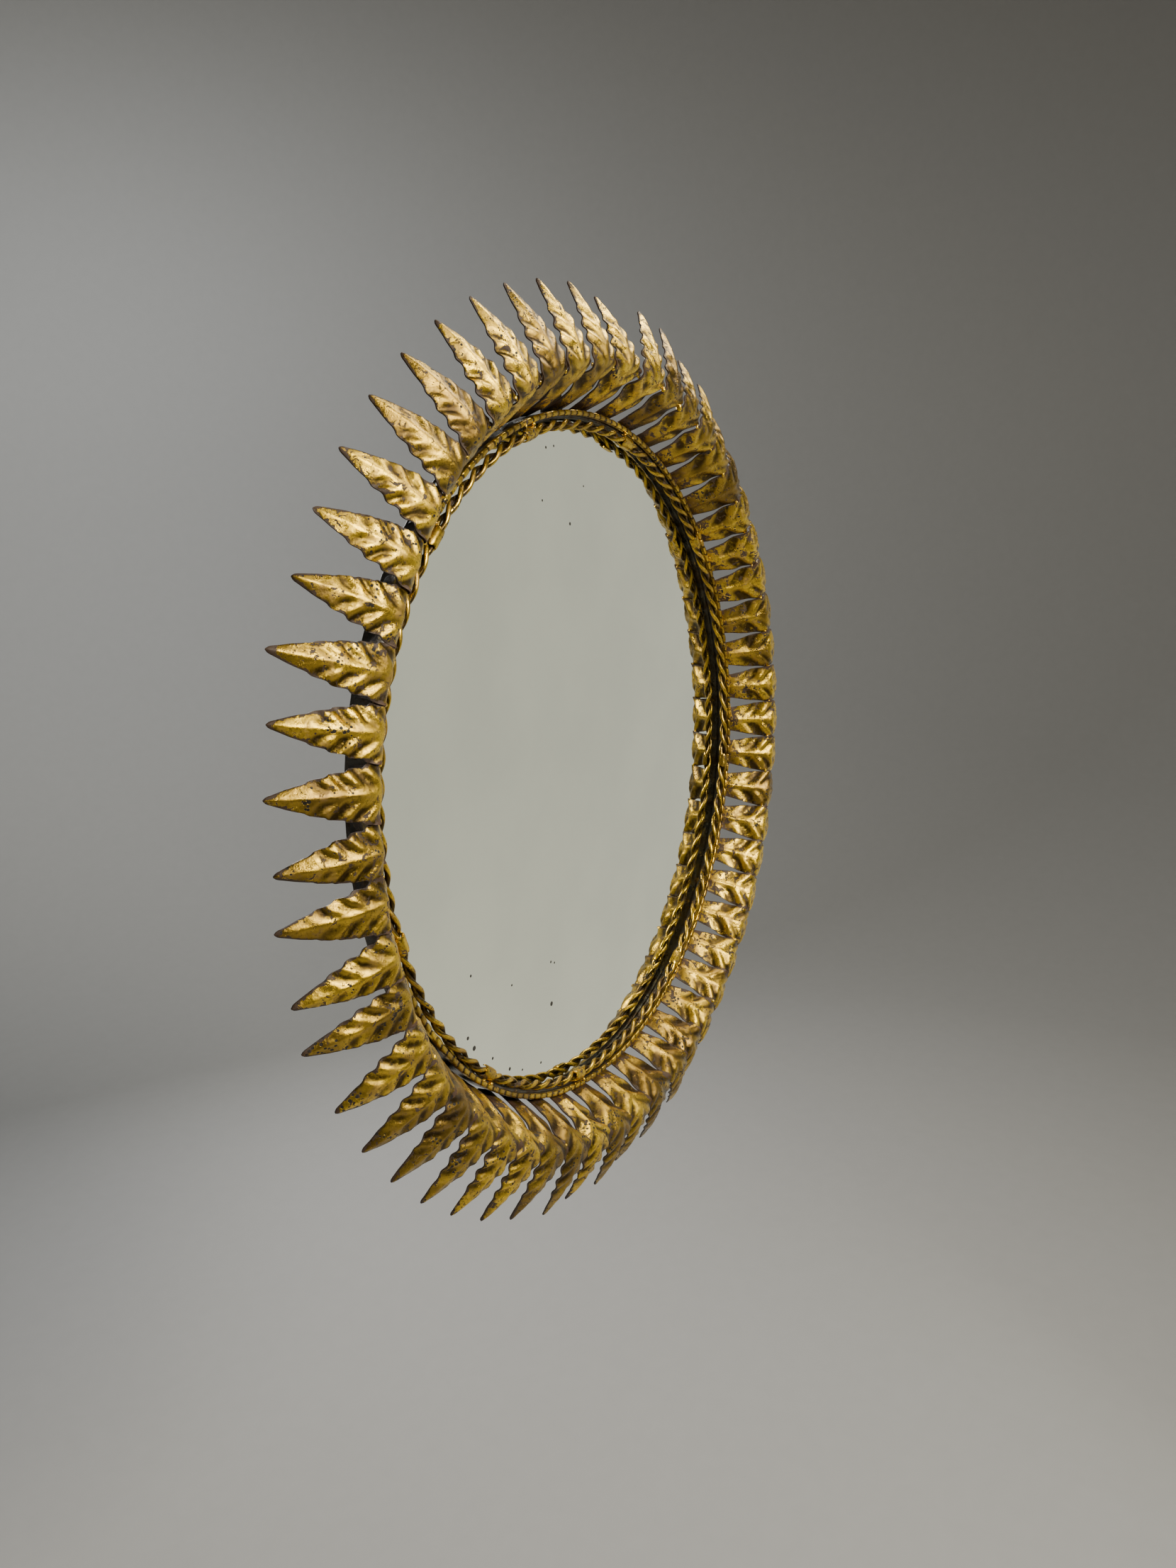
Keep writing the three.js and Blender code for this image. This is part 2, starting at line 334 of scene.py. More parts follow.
def dress(piece, slot, material, *nodes):
    piece.data.materials.clear()
    piece.data.materials.append(material)
    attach(piece, BODY)
    if nodes:
        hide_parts(*nodes)


# Node helpers


def add_node(tree, kind, **settings):
    node = tree.nodes.new(kind)
    for name, value in settings.items():
        setattr(node, name, value)
    return node


def feed(tree, target, source):
    """Links a socket to another, or sets it to a plain value."""
    if isinstance(source, bpy.types.NodeSocket):
        tree.links.new(source, target)
    else:
        target.default_value = source


def maths(tree, operation, first, second, clamp=False):
    node = add_node(tree, "ShaderNodeMath", operation=operation, use_clamp=clamp)
    feed(tree, node.inputs[0], first)
    feed(tree, node.inputs[1], second)
    return node.outputs[0]


def times(tree, first, second):
    return maths(tree, "MULTIPLY", first, second)


def plus(tree, first, second):
    return maths(tree, "ADD", first, second)


def larger(tree, first, second):
    return maths(tree, "MAXIMUM", first, second)


def steps(tree, value, low, high):
    """A smooth rise from 0 to 1 between two values."""
    node = add_node(tree, "ShaderNodeMapRange", interpolation_type="SMOOTHSTEP")
    feed(tree, node.inputs["Value"], value)
    node.inputs["From Min"].default_value = low
    node.inputs["From Max"].default_value = high
    return node.outputs["Result"]


def mix(tree, data_type, factor, first, second):
    node = add_node(tree, "ShaderNodeMix", data_type=data_type)
    feed(tree, node.inputs["Factor"], factor)
    feed(tree, node.inputs["A"], first)
    feed(tree, node.inputs["B"], second)
    return node.outputs["Result"]


def mix_colour(tree, factor, first, second):
    return mix(tree, "RGBA", factor, first, second)


def mix_number(tree, factor, first, second):
    return mix(tree, "FLOAT", factor, first, second)


def noise(tree, where, size, detail, roughness=0.55, distortion=0.0):
    """Cloudy noise whose features are about as large as the size in millimetres."""
    node = add_node(tree, "ShaderNodeTexNoise")
    feed(tree, node.inputs["Vector"], where)
    node.inputs["Scale"].default_value = 1 / (size * MM)
    node.inputs["Detail"].default_value = detail
    node.inputs["Roughness"].default_value = roughness
    node.inputs["Distortion"].default_value = distortion
    return node.outputs["Fac"]


def cells(tree, where, size):
    """The distance to the nearest of many scattered points."""
    node = add_node(tree, "ShaderNodeTexVoronoi")
    feed(tree, node.inputs["Vector"], where)
    node.inputs["Scale"].default_value = 1 / (size * MM)
    return node.outputs["Distance"]


def bump(tree, height, distance):
    node = add_node(tree, "ShaderNodeBump")
    node.inputs["Distance"].default_value = distance * MM
    feed(tree, node.inputs["Height"], height)
    return node.outputs["Normal"]


def material(name):
    made = bpy.data.materials.new(name)
    made.use_nodes = True
    shader = made.node_tree.nodes["Principled BSDF"]
    where = add_node(made.node_tree, "ShaderNodeTexCoord").outputs["Object"]
    return made, made.node_tree, shader, where


# Gilding

BRIGHT_GOLD = (0.92, 0.61, 0.055, 1)
DEEP_GOLD = (0.25, 0.155, 0.032, 1)
TAN_GOLD = (0.34, 0.22, 0.10, 1)
BRONZE_BROWN = (0.032, 0.020, 0.011, 1)
RED_BROWN = (0.075, 0.032, 0.013, 1)
BARE_BROWN = (0.048, 0.029, 0.019, 1)
SOOT = (0.012, 0.009, 0.007, 1)

MATTE_STRENGTH = 0.55
# How dark the glaze gets, with the painted shade in the hollows and the painted shadow along the edges
GLAZE_AND_SHADE_STRENGTH = 0.92
MOTTLE_STRENGTH = 0.75
RUST_STRENGTH = 0.85
LOSS_LEVEL = 0.64
LOSS_BLUR = 0.02
PIT_SPACING = 2.6
PIT_SIZE = 0.42
GILT_METALLIC = 0.97
BARE_METALLIC = 0.25
POLISHED_ROUGHNESS = 0.18
CLOUDY_ROUGHNESS = 0.40
MATTE_ROUGHNESS = 0.62
BARE_ROUGHNESS = 0.55

Patina = namedtuple("Patina", "relief soot edge seed")


def painted_patina(tree):
    """The channels that paint() stored on the mesh."""
    attribute = add_node(tree, "ShaderNodeAttribute", attribute_name="patina")
    channels = add_node(tree, "ShaderNodeSeparateColor")
    tree.links.new(attribute.outputs["Color"], channels.inputs["Color"])
    return Patina(
        relief=channels.outputs["Red"],
        soot=channels.outputs["Green"],
        edge=channels.outputs["Blue"],
        seed=attribute.outputs["Alpha"],
    )


def matte_gilding(tree, cloudy, patina):
    """Where the gilding is dull and tan."""
    return steps(tree, plus(tree, cloudy, times(tree, patina.seed, 0.08)), 0.56, 0.70)


def gilding_colour(tree, broad, matte, patina):
    tone = plus(tree, times(tree, broad, 0.7), times(tree, patina.seed, 0.3))
    colour = mix_colour(tree, steps(tree, tone, 0.28, 0.72), DEEP_GOLD, BRIGHT_GOLD)
    return mix_colour(tree, times(tree, matte, MATTE_STRENGTH), colour, TAN_GOLD)


def glaze_and_painted_shade(tree, colour, cloudy, patina):
    """Brown glaze left in the hollows and along the edges, which also serves as painted shade in the
    hollows and painted shadow along the leaf edges.
    """
    hollow = maths(tree, "SUBTRACT", 1.0, patina.relief, clamp=True)
    glaze_and_shade = times(tree, steps(tree, hollow, 0.30, 0.74), steps(tree, cloudy, 0.25, 0.52))
    rim = times(tree, patina.edge, steps(tree, cloudy, 0.35, 0.55))
    glaze_and_shade = maths(tree, "MAXIMUM", glaze_and_shade, rim, clamp=True)
    return mix_colour(tree, times(tree, glaze_and_shade, GLAZE_AND_SHADE_STRENGTH), colour, BRONZE_BROWN)


def brown_mottle(tree, colour, where, broad):
    grain = noise(tree, where, 1.7, detail=5, roughness=0.75)
    mottle = times(tree, steps(tree, grain, 0.50, 0.66), steps(tree, broad, 0.30, 0.62))
    return mix_colour(tree, times(tree, mottle, MOTTLE_STRENGTH), colour, BRONZE_BROWN)


def lost_gilding(tree, where, wear, patina):
    """Where the gilding is gone: in ragged patches, mostly by the edges, the tips and the feet."""
    lost = noise(tree, where, 5.5, detail=8, roughness=0.72, distortion=0.6)
    lost = plus(tree, lost, times(tree, patina.edge, 0.13))
    lost = plus(tree, lost, times(tree, patina.soot, 0.16))
    lost = plus(tree, lost, times(tree, patina.seed, 0.03))
    return steps(tree, lost, LOSS_LEVEL - wear, LOSS_LEVEL + LOSS_BLUR - wear)


def pits_and_specks(tree, where):
    size = steps(tree, noise(tree, where, 16, detail=2), 0.42, 0.72)
    inside = maths(tree, "SUBTRACT", times(tree, size, PIT_SIZE), cells(tree, where, PIT_SPACING))
    return steps(tree, inside, 0.0, 0.05)


def gilt(name, wear, grain):
    """Gilded iron: bright where it is raised, brown in the hollows as glaze and painted shade, bare in
    patches and pitted.
    """
    made, tree, shader, where = material(name)
    patina = painted_patina(tree)
    broad = noise(tree, where, 24, detail=2)
    cloudy = noise(tree, where, 7, detail=5, roughness=0.65)
    fine = noise(tree, where, 2.0, detail=5, roughness=0.75)

    matte = matte_gilding(tree, cloudy, patina)
    colour = gilding_colour(tree, broad, matte, patina)
    # Glaze, with painted shade in the hollows and painted shadow along the edges
    colour = glaze_and_painted_shade(tree, colour, cloudy, patina)
    colour = brown_mottle(tree, colour, where, broad)
    bare = lost_gilding(tree, where, wear, patina)
    colour = mix_colour(tree, bare, colour, BARE_BROWN)

    # Reddish rust and soot by the feet
    rust = times(tree, steps(tree, patina.soot, 0.15, 0.8), steps(tree, cloudy, 0.32, 0.6))
    colour = mix_colour(tree, times(tree, rust, RUST_STRENGTH), colour, RED_BROWN)
    black = steps(tree, plus(tree, times(tree, cloudy, 0.6), patina.soot), 0.98, 1.25)
    colour = mix_colour(tree, black, colour, SOOT)

    pits = pits_and_specks(tree, where)
    colour = mix_colour(tree, pits, colour, SOOT)
    feed(tree, shader.inputs["Base Color"], colour)

    dull = larger(tree, larger(tree, bare, pits), times(tree, rust, 0.6))
    feed(tree, shader.inputs["Metallic"], mix_number(tree, dull, GILT_METALLIC, BARE_METALLIC))
    shine = mix_number(tree, cloudy, POLISHED_ROUGHNESS, CLOUDY_ROUGHNESS)
    shine = mix_number(tree, times(tree, matte, 0.7), shine, MATTE_ROUGHNESS)
    feed(tree, shader.inputs["Roughness"], mix_number(tree, dull, shine, BARE_ROUGHNESS))

    height = plus(tree, times(tree, fine, 1.4), times(tree, cloudy, 0.6))
    height = maths(tree, "SUBTRACT", height, times(tree, dull, 0.5))
    feed(tree, shader.inputs["Normal"], bump(tree, height, grain))
    return made


# Glass, iron and board

DIM_SILVER = (0.79, 0.80, 0.69, 1)
BRIGHT_SILVER = (0.84, 0.85, 0.73, 1)
SPECK_BLACK = (0.02, 0.018, 0.015, 1)
SILVER_ROUGHNESS = 0.015
SPECK_ROUGHNESS = 0.4
IRON_GREY = (0.10, 0.095, 0.085, 1)
IRON_BROWN = (0.060, 0.036, 0.020, 1)
IRON_GILT = (0.45, 0.29, 0.10, 1)
BOARD_BROWN = (0.12, 0.070, 0.035, 1)
BOARD_TAN = (0.27, 0.17, 0.095, 1)
BOARD_STAIN = (0.10, 0.062, 0.036, 1)

# Dark specks in the silver: across and up from the glass's centre, and radius
GLASS_SPECKS = [
    (-23, 203.5, 0.9),
    (-13.8, 204.4, 0.8),
    (0.1, 156.2, 1.1),
    (-31, 171.9, 0.8),
    (19.8, 179.2, 0.7),
    (-143.9, -99.7, 0.9),
    (-57.6, -125.2, 0.9),
    (-53.4, -127.4, 0.8),
    (-103.4, -122.7, 0.8),
    (-60.3, -154.2, 1.6),
    (-152, -136.7, 1.2),
    (-146.8, -145.7, 1.6),
    (-129.5, -160.8, 1.0),
    (-77.8, -189, 0.9),
    (-112.8, -176.3, 1.2),
    (-99.2, -183.6, 0.8),
]


def specks_in_glass(tree, where):
    """1 inside a speck on the glass's front, and 0 elsewhere."""
    dark = 0.0
    for across, up, radius in GLASS_SPECKS:
        apart = add_node(tree, "ShaderNodeVectorMath", operation="DISTANCE")
        tree.links.new(where, apart.inputs[0])
        apart.inputs[1].default_value = (
            across * MM,
            -(RING_TO_WALL + GLASS_FRONT) * MM,
            (up - AXIS_DROP) * MM,
        )
        inside = maths(tree, "LESS_THAN", apart.outputs["Value"], radius * MM)
        dark = larger(tree, dark, inside)
    return dark


def silvered_glass():
    """Old silvered glass: pale, a little green, with a few dark specks where the silver has gone."""
    made, tree, shader, where = material("silvered_glass")
    haze = noise(tree, where, 90, detail=3)
    colour = mix_colour(tree, steps(tree, haze, 0.3, 0.7), DIM_SILVER, BRIGHT_SILVER)
    dark = specks_in_glass(tree, where)
    colour = mix_colour(tree, dark, colour, SPECK_BLACK)
    feed(tree, shader.inputs["Base Color"], colour)
    feed(tree, shader.inputs["Metallic"], maths(tree, "SUBTRACT", 1.0, times(tree, dark, 0.8)))
    feed(tree, shader.inputs["Roughness"], mix_number(tree, dark, SILVER_ROUGHNESS, SPECK_ROUGHNESS))
    return made


def dark_iron():
    made, tree, shader, where = material("dark_iron")
    cloudy = noise(tree, where, 9, detail=5, roughness=0.65)
    fine = noise(tree, where, 1.2, detail=4)
    colour = mix_colour(tree, steps(tree, cloudy, 0.45, 0.66), IRON_GREY, IRON_BROWN)
    gold = steps(tree, noise(tree, where, 14, detail=6, roughness=0.7), 0.60, 0.66)
    colour = mix_colour(tree, gold, colour, IRON_GILT)
    feed(tree, shader.inputs["Base Color"], colour)
    feed(tree, shader.inputs["Metallic"], mix_number(tree, gold, 0.85, 0.95))
    feed(tree, shader.inputs["Roughness"], mix_number(tree, cloudy, 0.16, 0.45))
    feed(tree, shader.inputs["Normal"], bump(tree, plus(tree, cloudy, fine), 0.25))
    return made


def hardboard():
    made, tree, shader, where = material("hardboard")
    fibres = noise(tree, where, 1.6, detail=6, roughness=0.7)
    stains = noise(tree, where, 60, detail=4)
    colour = mix_colour(tree, fibres, BOARD_BROWN, BOARD_TAN)
    colour = mix_colour(tree, steps(tree, stains, 0.5, 0.75), colour, BOARD_STAIN)
    feed(tree, shader.inputs["Base Color"], colour)
    shader.inputs["Roughness"].default_value = 0.82
    feed(tree, shader.inputs["Normal"], bump(tree, fibres, 0.3))
    return made


# Leaves

MiddleLine = namedtuple("MiddleLine", "along out up slope_out slope_up")


def line_lengths(line):
    return np.concatenate([[0], np.cumsum(np.hypot(*np.diff(line, axis=0).T))])


def smooth_line(points, step, softness):
    """The same line with evenly spaced points and soft corners, its ends kept."""
    lengths = line_lengths(points)
    along = np.arange(0, lengths[-1] + step / 2, step)
    even = np.stack([np.interp(along, lengths, points[:, i]) for i in range(2)], axis=1)
    reach = int(3 * softness / step)
    weights = np.exp(-0.5 * (np.arange(-reach, reach + 1) * step / softness) ** 2)
    weights /= weights.sum()
    before = 2 * even[0] - even[reach:0:-1]
    after = 2 * even[-1] - even[-2:-reach - 2:-1]
    padded = np.concatenate([before, even, after])
    return np.stack([np.convolve(padded[:, i], weights, "valid") for i in range(2)], axis=1)


def leaf_middle():
    """The rows down the middle of a leaf that isn't bent, each measure as a column of numbers."""
    root = np.stack([ROOT_OUT, ROOT_UP], axis=1)
    share = np.linspace(0, 1, BLADE_STEPS)[1:]
    blade = np.stack([
        CREST_OUT + share * (TIP_OUT - CREST_OUT),
        CREST_UP - share ** BLADE_BEND * (CREST_UP - TIP_UP),
    ], axis=1)
    line = smooth_line(np.concatenate([root, blade]), FOLD_STEP, FOLD_SOFTNESS)
    lengths = line_lengths(line)
    crest_length = np.interp(CREST_OUT, line[:, 0], lengths)
    along = np.linspace(0, lengths[-1], LEAF_ROWS)
    out = np.interp(along, lengths, line[:, 0])
    up = np.interp(along, lengths, line[:, 1])
    slope = np.stack([np.gradient(out), np.gradient(up)], axis=1)
    slope /= np.linalg.norm(slope, axis=1, keepdims=True)
    return MiddleLine(
        along=(along - crest_length)[:, None],
        out=out[:, None],
        up=up[:, None],
        slope_out=slope[:, :1],
        slope_up=slope[:, 1:],
    )


def lobe_cut(share):
    """How deep the edge is cut in: each lobe widens slowly to its end and is cut off short."""
    lobe = np.floor(share / LOBE_PITCH)
    past = share - lobe * LOBE_PITCH
    falling = np.clip(past / LOBE_CUT, 0, 1)
    rising = np.clip((past - LOBE_CUT) / (LOBE_PITCH - LOBE_CUT), 0, 1)
    cut = LOBE_DEPTH * np.minimum(falling, 1 - rising)
    return np.where((lobe >= 1) & (lobe <= LOBES), cut, 0)


def leaf_half_width(leaf, middle, across):
    """The sheet's width on one side of the mid-rib, for each row and each column's side."""
    share = blade_share(middle.out)
    root_out = np.minimum(middle.out, CREST_OUT)
    narrowing = 1 - share ** BLADE_NARROWING + TIP_FULLNESS * share ** TIP_FULLNESS_POWER
    half = np.interp(middle.out, ROOT_OUT, ROOT_HALF) * narrowing * (1 - lobe_cut(share))
    to_tip = np.clip((middle.along[-1] - middle.along) / TIP_ROUND_LENGTH, 0, 1)
    half = half * np.sqrt(TIP_BLUNTNESS + (1 - TIP_BLUNTNESS) * (1 - (1 - to_tip) ** 2))
    to_next = np.radians(angle_between(leaf, 1, root_out)) * (RING_RADIUS + root_out)
    to_last = -np.radians(angle_between(leaf, -1, root_out)) * (RING_RADIUS + root_out)
    side_width = np.where(across > 0, to_next, to_last)
    return half * side_width + CREST_OVERLAP * bell(middle.along, CREST_OVERLAP_REACH)


def leaf_arch(middle, from_middle):
    """How far the arched cross-section stands out of the edges."""
    share = blade_share(middle.out)
    arch = ARCH_RISE * np.sqrt(1 - np.minimum(share, 1) ** 2)
    flattened = 1 - CREST_FLATTENING * bell(middle.along, CREST_FLAT_REACH)
    arch = arch * np.interp(middle.out, ARCH_OUT, ARCH_STRENGTH) * flattened
    return arch * (1 - from_middle ** ARCH_POWER)


def leaf_veins(along, across, half_width, swell, shift, side_shift):
    """Side veins that slant towards the tip and end on the lobes."""
    met = along + VEIN_SLOPE * (half_width - np.abs(across * half_width))
    vein = np.where(met > 0, met / BLADE_VEIN_PITCH, met / ROOT_VEIN_PITCH) + VEIN_SHIFT * shift
    vein = vein + VEIN_SIDE_SHIFT * side_shift
    ridge = 2 * ((1 + np.cos(FULL_TURN * vein)) / 2) ** VEIN_POWER - 1
    strength = np.interp(along, VEIN_ALONG, VEIN_STRENGTH)
    spread = np.clip(np.abs(across) / VEIN_START, 0, 1) ** VEIN_START_POWER
    return VEIN_RISE * (1 + VEIN_RISE_SPREAD * swell) * strength * spread * ridge


def leaf_dents(along, x, phases):
    """Hand-made unevenness, as a sum of waves."""
    dents = 0
    for dent, *waves in DENTS:
        for per_along, per_across in waves:
            dent = dent * np.sin(per_along * along + per_across * x + next(phases))
        dents = dents + dent
    return dents


def leaf_surface(leaf, middle, x, rise):
    """The points of one face of the sheet, in metres, at its rise in front of the middle line."""
    bent_reach = BENT_LEAVES.get(leaf, STRAIGHT_LEAF)[1]
    radius = RING_RADIUS + middle.out + bent_reach * blade_share(middle.out)
    lean = np.radians(leaf_lean(leaf)) * lean_share(middle.out) * radius
    angle = leaf_angle(leaf)
    turn = math.radians(angle)
    upright = place(angle, radius - middle.slope_up * rise, middle.up + middle.slope_out * rise)
    sideways = np.array([-math.sin(turn), 0, math.cos(turn)]) * MM
    return (upright + (lean + x)[..., None] * sideways).reshape(-1, 3)


def paint_leaf(piece, middle, from_middle, half_width, relief, swell, shift):
    """Sooty feet and tips, a burnt crest, and edges where the gilding is thin and which the glaze
    darkens, partly as painted shadow between the leaves.
    """
    along = middle.along
    share = blade_share(middle.out)
    tip_soot = np.interp(share, TIP_SOOT_SHARE, TIP_SOOT)
    foot_soot = np.interp(along, FOOT_SOOT_ALONG, FOOT_SOOT)
    burnt = CREST_BURN * bell(along + CREST_BURN_SHIFT * shift, CREST_BURN_REACH)
    soot = np.maximum(tip_soot, foot_soot) + burnt * from_middle ** CREST_BURN_POWER
    soot = soot.reshape(-1)
    # Nearness to an edge: worn gilding there, and painted shadow along the edges through the glaze
    edge = bell((1 - from_middle) * half_width, EDGE_WEAR_AND_SHADE_WIDTH)
    edge = edge + np.interp(share, TIP_WEAR_SHARE, TIP_WEAR)
    edge = edge + CREST_WEAR * bell(along, CREST_WEAR_REACH) * from_middle ** CREST_WEAR_POWER
    edge = edge.reshape(-1)
    relief = np.clip(relief, 0, 1).reshape(-1)
    paint(
        piece,
        relief=np.concatenate([relief, BACK_RELIEF * relief]),
        soot=np.concatenate([soot, np.maximum(soot, BACK_SOOT)]),
        edge=np.concatenate([edge, edge]),
        seed=(1 + swell) / 2,
    )


def leaf_sheet(leaf, middle, leaf_material):
    """One pressed leaf, with relief, dents and wear of its own."""
    draw = np.random.default_rng(leaf)
    swell, shift, twist, cup, left, right = draw.uniform(-1, 1, 6)
    phases = iter(draw.uniform(0, FULL_TURN, WAVES_IN_DENTS))

    across = np.linspace(-1, 1, LEAF_COLUMNS)[None, :]
    from_middle = np.abs(across)
    by_side = np.where(across > 0, left, right)
    half_width = leaf_half_width(leaf, middle, across)
    x = across * half_width
    along = middle.along

    rib = np.interp(along, RIB_ALONG, RIB_STRENGTH) * bell(x, RIB_WIDTH)
    veins = leaf_veins(along, across, half_width, swell, shift, by_side)
    dents = leaf_dents(along, x, phases)
    rise = leaf_arch(middle, from_middle) + RIB_RISE * rib + veins
    rise = rise + dents + TWIST_SLOPE * twist * x + CUP_RISE * cup * (from_middle ** 2)
    lap = EDGE_LAP * (1 + EDGE_LAP_SPREAD * by_side)
    rise = rise + lap * across * from_middle ** EDGE_LAP_POWER * bell(along, EDGE_LAP_REACH)

    front = leaf_surface(leaf, middle, x, rise)
    back = leaf_surface(leaf, middle, x, rise - SHEET_THICK)
    faces = sheet_faces(LEAF_ROWS, LEAF_COLUMNS)[:, ::-1]
    piece = mesh_object(f"leaf_sheet_{leaf:02d}", np.concatenate([front, back]), faces.tolist())
    relief = MIDDLE_RELIEF + VEIN_RELIEF * veins / VEIN_RISE + RIB_RELIEF * rib + DENT_RELIEF * dents
    paint_leaf(piece, middle, from_middle, half_width, relief, swell, shift)
    sharpen(piece, angle=60)
    dress(piece, "leaf_gilt", leaf_material, f"leaf_{leaf:02d}")


# Rings

ROPE_STEPS = 1080
ROPE_SIDES = 12
ROPE_WIRE_FIT = 0.98
ROPE_WANDER = 0.12
ROPE_WANDER_WAVES = 17
RING_STEPS = 1536
RING_SIDES = 16
RING_CORNER = 1.2
NICKS = 192
NICK_DEPTH = 0.55
NICK_SLANT = 1.6
NICK_POWER = 5
CLIP_ROWS = 15
CLIP_COLUMNS = 13
CLIP_THICK = 0.75
CLIP_ROOM = 0.15
CLIP_HALF_WIDTH_SHARE = (0.42, 0.56)
CLIP_RAGGEDNESS = 0.10
CLIP_DENT = 0.132
CLIP_PINCH = 0.12
CLIP_SEED = 100


def rope_strand(angle, phase):
    """One of the rope's two wires, and how far each point faces away from the rope's middle."""
    twist = np.radians(angle) * ROPE_HALF_TURNS / 2 + phase
    wander = ROPE_WANDER * np.sin(np.radians(angle) * ROPE_WANDER_WAVES + phase)
    radius = ROPE_RADIUS + ROPE_WIRE / 2 * np.cos(twist)
    height = ROPE_HEIGHT + ROPE_WIRE / 2 * np.sin(twist) + wander
    wire_radius = ROPE_WIRE * ROPE_WIRE_FIT / 2
    turn = np.linspace(0, FULL_TURN, ROPE_SIDES, endpoint=False)
    points = place(angle, radius + wire_radius * np.cos(turn), height + wire_radius * np.sin(turn))
    return points.reshape(-1, 3), np.cos(turn - twist).reshape(-1)


def rope_strands(rope_material):
    angle = np.linspace(0, 360, ROPE_STEPS, endpoint=False)[:, None]
    faces = grid_faces(ROPE_STEPS, ROPE_SIDES, close_rows=True, close_columns=True).tolist()
    strands = [rope_strand(angle, phase) for phase in (0, math.pi)]
    piece = mesh_object("rope_strands", *joined([(points, faces) for points, _ in strands]))
    outward = np.concatenate([facing for _, facing in strands])
    # Faces turned in towards the other wire are painted darker: glaze and painted shade in the groove
    # between the wires, with a touch of rust-red
    relief = np.clip(0.15 + 0.9 * outward, 0, 1)
    paint(piece, relief, soot=0.25 * (1 - relief), edge=0, seed=0.6)
    dress(piece, "rope_gilt", rope_material, "rope_ring")


def nicked_ring(ring_material):
    """A nearly square wire with slanting nicks across its front."""
    angle = np.linspace(0, 360, RING_STEPS, endpoint=False)[:, None]
    turn = (np.arange(RING_SIDES) + 0.5) / RING_SIDES * FULL_TURN
    half = RING_WIRE / 2
    reach = half / np.maximum(np.abs(np.cos(turn)), np.abs(np.sin(turn)))
    reach = np.minimum(reach, half * RING_CORNER)
    phase = np.radians(angle) * NICKS + NICK_SLANT * np.sin(turn)
    nick = ((1 + np.cos(phase)) / 2) ** NICK_POWER
    on_front = np.clip(0.35 + np.sin(turn), 0, 1)
    reach = reach - NICK_DEPTH * nick * on_front
    points = place(angle, RING_RADIUS + reach * np.cos(turn), reach * np.sin(turn))
    faces = grid_faces(RING_STEPS, RING_SIDES, close_rows=True, close_columns=True)
    piece = mesh_object("nicked_ring", points.reshape(-1, 3), faces.tolist())
    # The nicks are painted darker: glaze and painted shade in the cuts, with a touch of rust-red
    relief = (1 - nick * on_front).reshape(-1)
    paint(piece, 0.05 + 0.8 * relief, soot=0.3 * (1 - relief), edge=0, seed=0.4)
    dress(piece, "ring_gilt", ring_material, "notched_ring")


def rope_clip(number, middle):
    """A short, ragged sheet that wraps the rope."""
    draw = np.random.default_rng(CLIP_SEED + number)
    half_width = math.degrees(CLIP_WIDTH * draw.uniform(*CLIP_HALF_WIDTH_SHARE) / ROPE_RADIUS)
    turn = np.radians(np.linspace(CLIP_END, CLIP_START, CLIP_COLUMNS))[None, :]
    along = np.linspace(-1, 1, CLIP_ROWS)[:, None]
    ragged = 1 + CLIP_RAGGEDNESS * np.sin(5 * turn + draw.uniform(0, FULL_TURN)) * np.abs(along)
    dent = CLIP_DENT * np.sin(3 * along + draw.uniform(0, FULL_TURN)) * np.sin(2.3 * turn)
    pinched = 1 - CLIP_PINCH * np.abs(along) ** 6
    angle = middle + along * half_width * ragged
    points = []
    for lift in (CLIP_THICK, 0):
        reach = (ROPE_WIRE + CLIP_ROOM + lift) * pinched + dent
        side = place(angle, ROPE_RADIUS + reach * np.cos(turn), ROPE_HEIGHT + reach * np.sin(turn))
        points.append(side.reshape(-1, 3))
    return np.concatenate(points), sheet_faces(CLIP_ROWS, CLIP_COLUMNS).tolist()


def rope_clips(ring_material):
    """Short sheets that wrap the rope and are brazed to the notched ring."""
    clips = [rope_clip(number, middle) for number, middle in enumerate(CLIP_ANGLES)]
    piece = mesh_object("rope_clips", *joined(clips))
    paint(piece, relief=0.62, soot=0.05, edge=0.15, seed=0.5)
    sharpen(piece, angle=50)
    dress(piece, "ring_gilt", ring_material)


# Drops of braze: each pair of numbers is a range to draw from

LUMP_SIDES = 10
LUMP_ROWS = 8
LUMP_POLE = 0.12
LUMP_RING_WOBBLE = 0.16
LUMP_FALL_WOBBLE = 0.12
LUMP_STRETCH = (0.7, 1.25)
LEAF_LUMP_IN = (0.4, 2.2)
LEAF_LUMP_DOWN = (0.2, 1.0)
LEAF_LUMP_SIZE = (0.9, 1.9)
CLIP_LUMP_ASIDE = (0.9, 1.5)
CLIP_LUMP_IN = (1.2, 2.4)
CLIP_LUMP_UP = 1.2
CLIP_LUMP_SIZE = (0.8, 1.4)
LEAF_LUMP_SEED = 300
CLIP_LUMP_SEED = 500
LUMP_SHAPE_SEED = 700


